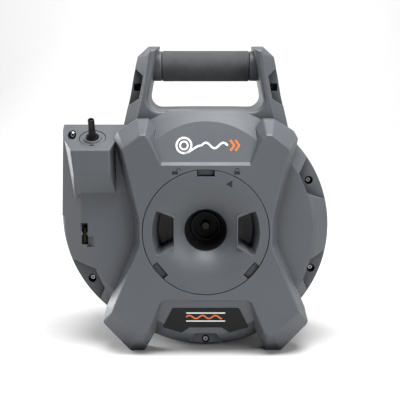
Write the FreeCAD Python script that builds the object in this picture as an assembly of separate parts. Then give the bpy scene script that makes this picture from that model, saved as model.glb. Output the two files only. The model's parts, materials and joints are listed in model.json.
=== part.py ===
import FreeCAD, Part
import math
import os

# Drain snake machine: a hand-carried drum case that holds a sheathed flexible drive cable.
# A drill drives the shaft in the middle of the front, and the cable's end turns in the outlet
# at the upper left.
#
# Everything is drawn in the drum's frame: X to the right seen from the front, Y backwards from
# the plane of the front frame, Z up, with Y the drum's axis. Each shape is moved at the end, so
# that the origin is under the middle of the object, on the surface that the feet stand on.
# All sizes are in millimetres. Outlines of parts that are alike on both sides give the right-hand
# corners only; a third number at a corner is its radius.

Vector = FreeCAD.Vector
Y_AXIS = Vector(0, 1, 0)
Z_AXIS = Vector(0, 0, 1)

# ---- overall ----
DEPTH = 166.0
MID = DEPTH / 2
CASE_R = 140.0
FOOT_Z = -142.0
GRIP_Z = 181.0
WALL = 3.0
EDGE = 1.6
SHELL_GAP = 0.4
RUNNING = 0.05
TIGHT = 0.02
PAST = 1.0
FAR = 240.0

# ---- round case ----
PANEL_Y = 21.0
RIM_Y = 40.0
RIDGE_R = 124.0
RIDGE_ROUND = 3.0
RIM_ROUND = 8.0
CONE_SLOPE = (CASE_R - RIDGE_R) / (RIM_Y - PANEL_Y)

# ---- shoulder on the left, which makes room for the cable's way out ----
SHOULDER_X = -23.8
SHOULDER_Z = 12.8
SHOULDER_RIDGE_R = 116.0
SHOULDER_LEFT = SHOULDER_X - CASE_R
SHOULDER_TOP_X = -160.2
SHOULDER_TOP_Z = 116.0
SHOULDER_RIGHT = -84.0
SHOULDER_FALL = 6.0
CREST_Y = 48.0
SIDE_SHIFT = -(SHOULDER_LEFT + CASE_R) / 2

# ---- outlet box on the shoulder, and the outlet in its sloped top ----
OUTLET_TILT = 30.0
SLOPE = math.tan(math.radians(OUTLET_TILT))
OUTLET_X = -126.0
OUTLET_Y = 25.0
BOX_FRONT_Y = 5.0
BOX_RIGHT = -105.5
BOX_SIDE_STEP = 5.5
BOX_TOP_Z = 118.0
BOX_LOW_Z = 34.0
BOX_TOP_XS = (-160.6, -159.8, -151.2)
BOX_LOW_XS = (-152.0, -145.5, -141.9)
BOX_CHIN_Z = 63.0
BOX_HEEL_Z = 42.0
BOX_ROUND = 2.0
COLLAR_R = 14.7
COLLAR_DEPTH = 4.0
BOOT_R = 7.3
BOOT_HIGH = 3.4
GUIDE_R = 8.0
GUIDE_DEPTH = 26.0

# ---- cross frame: right half of its outline at the front edge and at the foot of its slopes ----
FRAME_FRONT = ((47.5, 74.8), (61.5, 104.0, 4), (66.0, 109.5, 3), (72.5, 108.5, 3), (90.0, 95.5, 3),
               (92.2, 91.5, 3), (74.2, 15.0, 12), (73.8, -14.5, 12), (104.0, -86.5, 4),
               (105.5, -91.5, 3), (77.0, -116.5, 4), (70.0, -118.5, 3), (65.0, -114.5, 4),
               (50.5, -79.7, 6), (41.5, -76.5))
FRAME_BACK = ((40.0, 66.0), (54.5, 114.0, 4), (64.0, 124.0, 5), (76.0, 123.4, 5), (98.0, 110.6, 5),
              (102.8, 102.0, 5), (82.4, 14.0, 12), (82.0, -16.0, 12), (113.0, -90.0, 6),
              (117.6, -109.0, 6), (86.5, -142.0, 4), (70.0, -142.0, 3), (60.0, -124.0, 6),
              (42.0, -86.0, 6), (34.0, -72.0))
FRAME_SLOPE_Y = 24.0
FRAME_BACK_Y = 43.0
SHARPEST = 0.35

# ---- sloped panels between the arms and between the legs, as y, z of their sections ----
PANEL_BACK_Y = PANEL_Y + 9
UPPER_PANEL = ((0, 60), (0, 74.8), (3, 78.3), (PANEL_Y + 0.5, 130), (PANEL_BACK_Y, 130), (PANEL_BACK_Y, 60))
LOWER_PANEL = ((0, -60), (0, -76.5), (3, -78.5), (PANEL_Y + 0.5, -130), (PANEL_BACK_Y, -130),
               (PANEL_BACK_Y, -60))
UPPER_PANEL_HALF = 62.0
LOWER_PANEL_HALF = 58.0
PLATE_OUTLINE = ((37.2, -87.0, 2.0), (49.0, -112.0, 2.0), (27.2, -119.2, 1.0), (18.3, -112.2, 1.0))
PLATE_SUNK = 0.5
PLATE_THICK = 0.8

# ---- frame that carries the grip ----
HANDLE_RIDGE = ((54.0, 199.6), (62.0, 199.6, 2), (65.0, 194.0, 4), (69.0, 167.2), (71.8, 150.8),
                (77.9, 126.1), (84.0, 100.0))
HANDLE_OUTER = ((54.0, 203.4), (63.9, 203.4, 2), (76.6, 192.0, 3), (81.5, 170.0), (85.3, 148.0),
                (91.5, 122.5), (97.0, 100.0))
HANDLE_FRONT_Y = 37.0
HANDLE_BEVEL_Y = 50.0
OPENING_TOP = (53.6, 206.0)
OPENING_LOW = (67.2, 132.0)
OPENING_ROUND = 13.0
LIP_R = 4.5
LIP_STEPS = 4

# ---- grip ----
GRIP_R = 17.6
GRIP_HALF = 50.3
GRIP_END_GAP = 0.3
GRIP_ROUND = 1.6
TUBE_R = 11.0
TUBE_BORE_R = 8.5
TUBE_HALF = 67.0
SOCKET_COLLAR_R = 17.2
SOCKET_COLLAR_ROUND = 1.5

# ---- case screws: x, z of each axis, and the pockets in the rim where they sit ----
HEAD_R = 3.3
HEAD_HIGH = 2.9
SOCKET_R = 1.5
SINK_R = 4.8
SHANK_R = 2.2
LONG_SHANK = 62.0
SHORT_SHANK = 50.0
POST_R = 6.5
POCKET_Y = 40.0
SINK_DEPTH = 8.0
LOW_POCKET_Y = 36.0
LOW_SINK_DEPTH = 3.5
RIM_SCREWS = ((-130.5, -60.5), (121.0, -48.5), (117.0, 53.5))
RIM_POCKETS = (
    ((-125.0, -45.0), (-175.0, -31.8), (-175.0, -125.0), (-138.8, -125.0), (-114.8, -69.0)),
    ((117.8, -34.8), (110.6, -58.8), (132.0, -110.0), (165.0, -110.0), (165.0, -15.4)),
    ((104.0, 63.5), (131.5, 106.0), (165.0, 106.0), (165.0, 21.5), (114.4, 39.2)),
)
LOW_SCREW = (0.0, -132.0)
LOW_POCKET = ((-11.9, -119.8), (11.9, -119.8), (29.0, -153.0), (-29.0, -153.0))
BOX_SCREW = (-149.5, 105.5)
BOX_SCREW_Y = 39.0
HANDLE_SCREW = (77.0, 157.8)
HANDLE_SCREW_Y = 62.0
HANDLE_SINK = 4.3
HANDLE_POCKET = ((69.9, 170.7), (77.7, 177.9), (95.0, 193.9), (95.0, 132.8), (85.5, 138.7), (74.8, 145.3))
HANDLE_POCKET_Y = 55.0

# ---- hex key and its place on the shoulder ----
KEY_R = 1.5
KEY_X = -136.4
KEY_Y = 25.0
KEY_TOP_Z = 3.8
KEY_SHORT = 19.5
KEY_LONG = 56.0
KEY_BEND = 3.5
KEY_RUN_Z = KEY_TOP_Z - KEY_R
KEY_SLOT = (-140.0, -132.6, -17.6, 7.3)
KEY_SLOT_FLOOR_Y = 28.6
KEY_SLEEVE_R = 4.6
KEY_WALL = 2.5
SCOOP_DEPTH = 3.2
SCOOP_LONG = 7.5
SCOOP_HIGH = 12.0
STEP_DEPTH = 1.8
STEP_LONG = 3.8
NUB_R = 2.1
NUB_Z = -5.0

# ---- hub well and the lugs that hold the cover in it ----
WELL_R = 70.8
WELL_FLOOR_Y = 42.0
BOSS_R = 27.0
BUSH_R = 22.0
BUSH_FRONT_Y = 42.0
BUSH_REAR_Y = 54.0
BUSH_LIP_R = 25.5
BUSH_LIP = 1.6
LUG_ANGLES = (90.0, 220.0, 320.0)
LUG_INNER_R = 64.2
LUG_FRONT_Y = 4.0
LUG_BACK_Y = 7.6
LUG_WIDTH = 18.0

# ---- marks in the surface ----
MARK_DEPTH = 0.5
LOCK_X = 34.0
LOCK_Z = 68.4
LOCK_SWING = 4.0
ARROW = ((21.5, 54.3), (28.9, 58.6), (28.9, 50.0))

# ---- hub cover ----
COVER_R = 70.0
COVER_THICK = 3.0
FLAT_R = 62.0
HOLE_R = 24.0
HOLE_Y = 16.5
DISH_POWER = 2.4
DISH_STEPS = 12
SKIRT_R = 62.8
SKIRT_BACK_Y = 14.0
TAB_R = 69.0
TAB_FRONT_Y = 8.4
TAB_BACK_Y = 11.0
TAB_WIDTH = 22.0
NOTCH_INNER_R = 62.6
NOTCH_WIDTH = 19.5
RECESS_DEPTH = 27.0
RECESS_DRAFT = 7.0
RECESS_SWEEP_IN = 0.035
RECESS_WALL = 2.2
RECESS_OUTER_R = 60.3
RECESS_ARC = (24.5, 12.0, -1.0, -14.0, -26.5)
RECESS_INNER = ((35.3, 17.3), (35.2, -15.5))
GUIDE_TOP_Y = HOLE_Y + COVER_THICK
CUP_WALL = 2.0
CUP_FLANGE_R = 32.0
CUP_BACK_R = 18.5
CUP_BACK_Y = 38.5
CUP_SCREW_R = 28.9
CUP_SCREW_ANGLES = (60, 180, 300)

# ---- drum ----
DRUM_R = 120.5
DRUM_FRONT_Y = 60.0
DRUM_REAR_Y = 112.0
CORE_R = 60.0
DRUM_OPEN_Y = 66.0
PLATE_R = 100.0
PLATE_LIP = 2.5
HUB_R = 18.0
HUB_NOSE_Y = 40.5
HUB_FACE_Y = 50.0
HUB_CUP_R = 14.2
HUB_BACK_Y = 64.0
HUB_BORE_R = 11.0
FACE_BORE_R = 5.7
FLANGE_R = 46.0
FLANGE_Y = 56.5
SPOKES = 6
SPINDLE_R = 15.0
SPINDLE_BORE_R = 7.0
SPINDLE_FLANGE_R = 38.0
SPINDLE_END_Y = 134.0
CLIP_Y = 130.0
CLIP_GROOVE = 1.6
CLIP_GROOVE_R = 14.0
CLIP_R = 18.0
DRUM_SCREW_R = 2.0
DRUM_HEAD_R = 3.6
HUB_SCREW_CIRCLE = 38.0
SPINDLE_SCREW_CIRCLE = 30.0

# ---- sheath and cable ----
SHEATH_R = 4.0
CABLE_R = 3.1
TURN_LAYERS = ((113.0, 5), (105.0, 5), (97.0, 4))
FIRST_TURN_Y = 69.5
TURN_PITCH = 8.0
TURN_SQUASH = 0.12
COIL_FILL = ((94.5, 67.5), (115.5, 67.5), (115.5, 103.5), (102.5, 103.5), (102.5, 95.5), (94.5, 95.5))
RUN_Y = 102.0
BEND_R = 24.0
RUN_BEND_R = 25.0
RUN_START_X = 57.0
RUN_STRAIGHT_X = 66.0
GUIDE_TUBE_R = 6.0
LEAD_KNEE = 52.0
LEAD_END = (-112.5, 57.5, -8.0)

# ---- drive shaft, and the fitting on the cable's far end ----
SHAFT_R = 5.3
DRIVE_END_R = 4.75
SHAFT_FRONT_Y = 42.2
SHAFT_STEP_Y = 49.8
SHAFT_REAR_Y = 68.0
BEARING_Y = ((HUB_FACE_Y + 1.0, 55.4), (57.5, 63.5))
STOP_R = 8.0
STOP_Y = (55.7, 57.2)
SLEEVE_R = 8.8
SLEEVE_Y = (64.6, 75.0)
GRUB_R = 1.5
GRUB_Y = (66.3, 71.5)
SPIGOT_R = 2.4
SPIGOT_DEPTH = 15.0
FITTING_R = 3.7
FITTING_BORE_R = 2.0
FITTING_BORE = 10.0
FITTING_FOOT = 12.0
FITTING_TIP = 25.0

# ---- back of the case ----
DISH_R = 60.0
DISH_DEPTH = 12.0
REAR_BOSS_R = 25.0
REAR_BUSH_R = 20.0
REAR_BUSH_Y = (117.0, 129.0)
CAP_R = 34.0
CAP_THICK = 4.0
CAP_DIP_R = 20.0
CAP_SCREW_CIRCLE = 27.5
CAP_SCREW_R = 1.6
CAP_HEAD_R = 2.9
CAP_SHANK = 12.0
CAP_HOLE = 9.5


# ---- drawing helpers ----

def put(x, y, z):
    return Vector(x, y, z)


def polar(radius, degrees):
    return radius * math.cos(math.radians(degrees)), radius * math.sin(math.radians(degrees))


def mirrored(points):
    """A right-hand outline and its mirror image, as one closed outline."""
    return list(points) + [(-p[0],) + tuple(p[1:]) for p in reversed(points)]


def other_side(points):
    """The same outline on the left, with its corners still in the same turning order."""
    return [(-p[0],) + tuple(p[1:]) for p in reversed(points)]


def rounded_outline(points, place):
    """A closed outline; each point is (u, v) or (u, v, corner radius), and place puts it in space."""
    corners = []
    count = len(points)
    for i, point in enumerate(points):
        here = place(point[0], point[1])
        radius = point[2] if len(point) > 2 else 0.0
        before = points[i - 1]
        after = points[(i + 1) % count]
        to_before = (place(before[0], before[1]) - here).normalize()
        to_after = (place(after[0], after[1]) - here).normalize()
        if radius == 0.0:
            corners.append((here, None, here))
            continue
        inside = math.acos(max(-1.0, min(1.0, to_before.dot(to_after))))
        reach = radius / math.tan(inside / 2)
        bisector = (to_before + to_after).normalize()
        centre = here + bisector * (radius / math.sin(inside / 2))
        corners.append((here + to_before * reach, centre - bisector * radius, here + to_after * reach))
    edges = []
    for i, (start, middle, end) in enumerate(corners):
        if middle is not None:
            edges.append(Part.Arc(start, middle, end).toShape())
        following = corners[(i + 1) % count][0]
        edges.append(Part.LineSegment(end, following).toShape())
    return Part.Wire(edges)


def rounded_wire(points, y):
    """A closed outline in X and Z at depth y."""
    return rounded_outline(points, lambda x, z: put(x, y, z))


def prism(points, y0, y1):
    """An outline in X and Z pushed from depth y0 to y1."""
    return Part.Face(rounded_wire(points, y0)).extrude(Vector(0, y1 - y0, 0))


def upright_prism(points, z0, z1):
    """An outline of (x, y) points pushed up from z0 to z1."""
    wire = rounded_outline(points, lambda x, y: put(x, y, z0))
    return Part.Face(wire).extrude(Vector(0, 0, z1 - z0))


def taper(front_points, y0, back_points, y1):
    """A body with straight sides between two outlines of as many points."""
    wires = [rounded_wire(front_points, y0), rounded_wire(back_points, y1)]
    return Part.makeLoft(wires, True, True)


def bar_section(section, x0, x1):
    """A section of (y, z) points pushed along X."""
    wire = rounded_outline(section, lambda y, z: put(x0, y, z))
    return Part.Face(wire).extrude(Vector(x1 - x0, 0, 0))


def turned(profile, x=0.0, z=0.0):
    """A profile of (radius, y) or (radius, y, corner radius) points turned about an axis along Y."""
    wire = rounded_outline(profile, lambda r, y: put(x + r, y, z))
    return Part.Face(wire).revolve(put(x, 0, z), Y_AXIS, 360)


def upright(profile):
    """A profile of (radius, z) points turned about Z."""
    wire = rounded_outline(profile, lambda r, z: put(r, 0, z))
    return Part.Face(wire).revolve(put(0, 0, 0), Z_AXIS, 360)


def rod(radius, y0, y1, x=0.0, z=0.0):
    return Part.makeCylinder(radius, y1 - y0, put(x, y0, z), Y_AXIS)


def rod_x(radius, x0, x1):
    """A rod along X on the grip's axis."""
    return Part.makeCylinder(radius, abs(x1 - x0), put(min(x0, x1), MID, GRIP_Z), Vector(1, 0, 0))


def ring(outer, inner, y0, y1, x=0.0, z=0.0):
    return rod(outer, y0, y1, x, z).cut(rod(inner, y0 - PAST, y1 + PAST, x, z))


def block(x0, x1, y0, y1, z0, z1):
    return Part.makeBox(x1 - x0, y1 - y0, z1 - z0, put(x0, y0, z0))


def joined(shapes):
    body = shapes[0].multiFuse(shapes[1:]) if len(shapes) > 1 else shapes[0]
    return body.removeSplitter()


def cut_all(body, cutters):
    for cutter in cutters:
        body = body.cut(cutter)
    return body


def flipped(shape):
    """The same shape at the back, mirrored in the parting plane."""
    return shape.mirror(put(0, MID, 0), Y_AXIS)


def spun(shape, degrees):
    """A copy turned about the drum's axis, anticlockwise seen from the front."""
    copy = shape.copy()
    copy.rotate(put(0, 0, 0), Y_AXIS, -degrees)
    return copy


def at_outlet(shape):
    """Moves a shape drawn along Z onto the tilted outlet, with its z = 0 on the box's sloped top."""
    top = SHOULDER_TOP_Z - (CREST_Y - OUTLET_Y) * SLOPE
    shape.rotate(put(0, 0, 0), Vector(1, 0, 0), OUTLET_TILT)
    shape.translate(put(OUTLET_X, OUTLET_Y, top))
    return shape


def moved_in(points, amount):
    """A right-hand outline with each corner moved inwards, so that every side moves by the amount."""
    full = [put(p[0], 0, p[1]) for p in mirrored(points)]
    count = len(full)
    inner = []
    for i, point in enumerate(points):
        before = (full[i] - full[i - 1]).normalize()
        after = (full[(i + 1) % count] - full[i]).normalize()
        inwards = put(-before.z, 0, before.x) + put(-after.z, 0, after.x)
        moved = full[i] - inwards * (amount / max(SHARPEST, 1 + before.dot(after)))
        inner.append((max(0.0, moved.x), moved.z) + tuple(point[2:]))
    return inner


def grown(points, amount):
    """An outline grown outwards, as plain corners."""
    larger = rounded_wire([p[:2] for p in points], 0).makeOffset2D(amount, 2)
    return [(v.Point.x, v.Point.z) for v in larger.OrderedVertexes]


def lug(inner, outer, y0, y1, width, angle):
    """A short stretch of a ring, centred on an angle."""
    bar = block(0, outer + PAST, y0, y1, -width / 2, width / 2)
    return spun(bar.common(ring(outer, inner, y0, y1)), angle)


def tube_along(edges, radius, bore):
    """A round tube along a route of straight runs and arcs that meet in line."""
    wire = Part.Wire(edges)
    start = wire.OrderedVertexes[0].Point
    first = edges[0]
    heading = first.tangentAt(first.FirstParameter)
    outer = wire.makePipeShell([Part.Wire(Part.makeCircle(radius, start, heading))], True, False)
    if bore == 0.0:
        return outer
    return outer.cut(wire.makePipeShell([Part.Wire(Part.makeCircle(bore, start, heading))], True, False))


# ---- outside and inside of the case ----

def round_case(inset=0.0):
    """The drum's round case from its panel to the parting plane, or the room inside it."""
    back = MID + (PAST if inset else 0.0)
    ridge = RIDGE_R - inset * 1.2
    profile = [(0, PANEL_Y + inset), (ridge - RIDGE_ROUND, PANEL_Y + inset),
               (ridge + RIDGE_ROUND * 0.5, PANEL_Y + inset + RIDGE_ROUND * 0.9),
               (CASE_R - inset, RIM_Y + inset * 0.5, RIM_ROUND), (CASE_R - inset, back), (0, back)]
    return turned(profile)


def shoulder(with_box, inset=0.0):
    """The left-hand bulge: the lower quarter of a second disc, and a block above it with a sloped top."""
    back = MID + (PAST if inset else 0.0)
    ridge = SHOULDER_RIDGE_R - inset * 1.2
    outer = CASE_R - inset
    front_y = PANEL_Y + inset
    rim_y = RIM_Y + inset * 0.5
    disc = turned([(0, front_y), (ridge, front_y), (outer, rim_y, RIM_ROUND), (outer, back), (0, back)],
                  SHOULDER_X, SHOULDER_Z)
    disc = disc.common(block(SHOULDER_LEFT - PAST, SHOULDER_X, 0, back, -FAR, SHOULDER_Z))
    left_ridge = SHOULDER_X - ridge
    top = SHOULDER_TOP_Z + 9
    front_top = top - (CREST_Y - PANEL_Y) * SLOPE
    front = [(left_ridge, SHOULDER_Z), (left_ridge + 2.0, front_top), (SHOULDER_RIGHT, front_top),
             (SHOULDER_RIGHT, SHOULDER_Z)]
    rim = [(SHOULDER_LEFT + inset, SHOULDER_Z), (SHOULDER_TOP_X + inset, top), (SHOULDER_RIGHT, top),
           (SHOULDER_RIGHT, SHOULDER_Z)]
    upper = joined([taper(front, front_y, rim, rim_y), prism(rim, rim_y, back)])
    middle_z = SHOULDER_TOP_Z - SHOULDER_FALL - inset
    crest = (SHOULDER_TOP_Z if with_box else SHOULDER_TOP_Z - 2 * SHOULDER_FALL) - inset
    over = [(0, crest - CREST_Y * SLOPE), (CREST_Y, crest), (MID, middle_z), (MID + 2, middle_z),
            (MID + 2, FAR), (0, FAR)]
    return joined([disc, upper.cut(bar_section(over, SHOULDER_LEFT - PAST, SHOULDER_RIGHT + PAST))])


def outlet_box(inset=0.0):
    """The outlet box: its top slopes forwards, and its front slants back lower down."""

    def section(z, xs):
        side, corner, front = xs
        flank = BOX_RIGHT + BOX_SIDE_STEP - inset
        outline = [(side + inset, CREST_Y), (corner + inset, PANEL_Y), (front + inset, BOX_FRONT_Y + inset),
                   (BOX_RIGHT - inset, BOX_FRONT_Y + inset), (flank, PANEL_Y), (flank, CREST_Y)]
        return Part.makePolygon([put(x, y, z) for x, y in outline + outline[:1]])

    body = Part.makeLoft([section(BOX_LOW_Z, BOX_LOW_XS), section(BOX_TOP_Z, BOX_TOP_XS)], True, True)
    crest = SHOULDER_TOP_Z - inset / math.cos(math.radians(OUTLET_TILT))
    lid = BOX_TOP_Z + 9
    front = -9
    above = [(CREST_Y, crest), (CREST_Y, lid), (front, lid), (front, crest - (CREST_Y - front) * SLOPE)]
    if inset:
        below = [(front, 0), (BOX_FRONT_Y + inset, BOX_CHIN_Z + inset), (PANEL_Y + inset, BOX_HEEL_Z + inset),
                 (CREST_Y, BOX_HEEL_Z + inset), (CREST_Y, 0)]
    else:
        below = [(front, BOX_CHIN_Z), (BOX_FRONT_Y, BOX_CHIN_Z), (PANEL_Y, BOX_HEEL_Z),
                 (PANEL_Y + 6, BOX_LOW_Z), (PANEL_Y + 6, 0), (front, 0)]
    body = cut_all(body, [bar_section(outline, -FAR, 0) for outline in (above, below)])
    if not inset:
        body = body.makeFillet(BOX_ROUND, [e for e in body.Edges if e.BoundBox.YMax < CREST_Y - 0.5])
    return body


def cross_frame():
    """The raised X-shaped frame, whose arms end in sloped bumpers and whose legs end in feet."""
    edge = mirrored(moved_in(FRAME_FRONT, EDGE))
    front = mirrored(FRAME_FRONT)
    back = mirrored(FRAME_BACK)
    return joined([taper(edge, 0, front, EDGE), taper(front, EDGE, back, FRAME_SLOPE_Y),
                   prism(back, FRAME_SLOPE_Y, FRAME_BACK_Y)])


def sloped_panels():
    """The flat panels between the upper arms and between the legs, leaning back to the cone."""
    cone = turned([(0, 0), (RIDGE_R - PANEL_Y * CONE_SLOPE, 0),
                   (RIDGE_R + (PANEL_BACK_Y - PANEL_Y) * CONE_SLOPE, PANEL_BACK_Y), (0, PANEL_BACK_Y)])
    return [bar_section(section, -half, half).common(cone)
            for section, half in ((UPPER_PANEL, UPPER_PANEL_HALF), (LOWER_PANEL, LOWER_PANEL_HALF))]


def opening_outline(grow):
    """The outline of the room for the hand, from above the grip down to the case."""
    return mirrored([(OPENING_TOP[0] + grow, OPENING_TOP[1] + grow),
                     (OPENING_LOW[0] + grow, OPENING_LOW[1] - grow, OPENING_ROUND + grow)])


def handle_opening(grow=0.0):
    return prism(opening_outline(grow), 0, MID + PAST)


def handle_frame():
    """One half of the frame that carries the grip: bevelled outside, with a rounded lip inside."""
    edge = mirrored(moved_in(HANDLE_RIDGE, EDGE))
    ridge = mirrored(HANDLE_RIDGE)
    outer = mirrored(HANDLE_OUTER)
    body = joined([taper(edge, HANDLE_FRONT_Y, ridge, HANDLE_FRONT_Y + EDGE),
                   taper(ridge, HANDLE_FRONT_Y + EDGE, outer, HANDLE_BEVEL_Y),
                   prism(outer, HANDLE_BEVEL_Y, MID)])
    for i in range(LIP_STEPS):
        near, far = [math.pi / 2 * step / LIP_STEPS for step in (i, i + 1)]
        start = HANDLE_FRONT_Y + LIP_R * (1 - math.cos(near)) - (0.01 if i == 0 else 0)
        end = HANDLE_FRONT_Y + LIP_R * (1 - math.cos(far))
        body = body.cut(taper(opening_outline(LIP_R * (1 - math.sin(near))), start,
                              opening_outline(LIP_R * (1 - math.sin(far))), end))
    return body


def socket_collars():
    """The half round collars in which the grip's tube ends, rounded where the foam meets them."""
    half = block(-FAR, FAR, 0, MID, GRIP_Z - GRIP_R * 2, GRIP_Z + GRIP_R * 2)
    collars = []
    for side in (-1, 1):
        face_x = side * GRIP_HALF
        collar = rod_x(SOCKET_COLLAR_R, face_x, side * (TUBE_HALF - 1))
        inner_edge = [e for e in collar.Edges
                      if abs(e.BoundBox.XMin - face_x) < 0.01 and abs(e.BoundBox.XMax - face_x) < 0.01]
        collars.append(collar.makeFillet(SOCKET_COLLAR_ROUND, inner_edge).common(half))
    return collars


def outer_body(with_box):
    """The outside of one shell, drawn as a front one."""
    pieces = [round_case(), shoulder(with_box), cross_frame(), *sloped_panels(), handle_frame()]
    if with_box:
        pieces.append(outlet_box())
    return joined([joined(pieces).cut(handle_opening())] + socket_collars())


def inner_room(with_box):
    """The room inside one shell, before its wells, pockets and posts are left standing in it."""
    arms = taper(mirrored(moved_in(FRAME_FRONT, WALL + 1)), WALL,
                 mirrored(moved_in(FRAME_BACK, WALL + 1.5)), FRAME_SLOPE_Y + 1)
    pieces = [round_case(WALL), shoulder(with_box, WALL), arms]
    if with_box:
        pieces.append(outlet_box(WALL))
    ceiling = OPENING_LOW[1] - WALL
    half = OPENING_LOW[0] + WALL
    return joined(pieces).cut(block(-half, half, 0, MID + 2, ceiling, FAR))


def handle_room():
    """The hollow in each side of the handle frame, open at the parting plane."""
    room = prism(mirrored(moved_in(HANDLE_OUTER, WALL)), HANDLE_BEVEL_Y + WALL, MID + PAST)
    room = room.cut(handle_opening(WALL)).cut(block(-FAR, FAR, 0, MID + 2, 90, 140))
    for side in (-1, 1):
        pocket = [(side * x, z) for x, z in HANDLE_POCKET]
        room = cut_all(room, [
            rod_x(TUBE_R + WALL, side * GRIP_HALF, side * (TUBE_HALF + WALL)),
            prism(grown(pocket, WALL), 0, HANDLE_POCKET_Y + WALL),
            rod(POST_R, HANDLE_POCKET_Y, MID + 2, side * HANDLE_SCREW[0], HANDLE_SCREW[1])])
    return room


# ---- what is set into the shells ----

def screw_axes():
    """x, z, seat depth and shank length of every screw that joins the two shells below the handle."""
    axes = [(x, z, POCKET_Y + SINK_DEPTH, LONG_SHANK) for x, z in RIM_SCREWS]
    return axes + [(*LOW_SCREW, LOW_POCKET_Y + LOW_SINK_DEPTH, LONG_SHANK),
                   (*BOX_SCREW, BOX_SCREW_Y, SHORT_SHANK)]


def handle_screw_axes():
    return [(side * HANDLE_SCREW[0], HANDLE_SCREW[1], HANDLE_SCREW_Y, SHORT_SHANK) for side in (-1, 1)]


def rim_pockets():
    """Each pocket's outline and the depth of its floor."""
    return [(outline, POCKET_Y) for outline in RIM_POCKETS] + [(LOW_POCKET, LOW_POCKET_Y)]


def handle_pockets():
    cuts = []
    for side in (-1, 1):
        cuts.append(prism([(side * x, z) for x, z in HANDLE_POCKET], 0, HANDLE_POCKET_Y))
        x, z = side * HANDLE_SCREW[0], HANDLE_SCREW[1]
        cuts.append(block(x - HANDLE_SINK, x + HANDLE_SINK, HANDLE_FRONT_Y, HANDLE_SCREW_Y,
                          z - HANDLE_SINK, z + HANDLE_SINK))
    return cuts


def key_pocket():
    """What is added to and cut from the front shell for the hex key."""
    left, right, low, high = KEY_SLOT
    added = [block(left - KEY_WALL, right + KEY_WALL, PANEL_Y + 1.5, KEY_SLOT_FLOOR_Y + KEY_WALL,
                   low - KEY_WALL, high + KEY_WALL),
             block(right, right + SCOOP_LONG + WALL, PANEL_Y + 1.5, KEY_SLOT_FLOOR_Y + 1.5, low - 5, -2.0),
             rod(KEY_SLEEVE_R, KEY_SLOT_FLOOR_Y, MID + 2, KEY_X, KEY_RUN_Z)]
    floor_y = PANEL_Y + SCOOP_DEPTH
    scoop = upright_prism([(right - 1, 15), (right - 1, floor_y), (right + 1, floor_y),
                      (right + SCOOP_LONG, PANEL_Y - 0.2), (right + SCOOP_LONG, 15)],
                     low - 2.6, low - 2.6 + SCOOP_HIGH)
    reach = KEY_R / math.cos(math.pi / 6) + 0.2 + NUB_R
    nubs = [rod(NUB_R, PANEL_Y + 1.0, KEY_SLOT_FLOOR_Y, KEY_X + side * reach, NUB_Z) for side in (-1, 1)]
    cuts = [cut_all(block(left, right, 10, KEY_SLOT_FLOOR_Y, low, high), nubs), scoop,
            block(left - STEP_LONG, left + 0.5, 10, PANEL_Y + STEP_DEPTH, -2.9, high),
            rod(KEY_R * 1.3, PANEL_Y, MID + PAST, KEY_X, KEY_RUN_Z)]
    return added, cuts


def plate_on_lower_panel(sunk, proud):
    """The plate between the legs as a layer of the sloped panel, from sunk below it to proud of it."""
    (top_y, top_z), (low_y, low_z) = LOWER_PANEL[2], LOWER_PANEL[3]
    lean = math.atan2(low_y - top_y, top_z - low_z)
    corners = []
    for out, down in [(-sunk, 0), (proud, 0), (proud, -60), (-sunk, -60)]:
        corners.append((top_y - out * math.cos(lean) - down * math.sin(lean),
                        top_z - out * math.sin(lean) + down * math.cos(lean)))
    return bar_section(corners, -LOWER_PANEL_HALF, LOWER_PANEL_HALF).common(
        prism(mirrored(PLATE_OUTLINE), -PAST, PANEL_BACK_Y))


def padlock(x, z, swing):
    """A padlock sign, cut into the frame; swing is how far its bow is turned aside."""
    bow_x = x + swing
    bow = ring(2.5, 1.5, -PAST, MARK_DEPTH, bow_x, z + 1.2)
    bow = bow.common(block(bow_x - 3, bow_x + 3, -PAST, MARK_DEPTH, z + 1.2, z + 6))
    leg = block(bow_x - 2.5, bow_x - 1.5, -PAST, MARK_DEPTH, z, z + 1.4)
    other = block(bow_x + 1.5, bow_x + 2.5, -PAST, MARK_DEPTH, z + (0.6 if swing else 0), z + 1.4)
    return joined([block(x - 3.3, x + 3.3, -PAST, MARK_DEPTH, z - 3.8, z + 0.2), bow, leg, other])


# ---- the two shells ----

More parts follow.
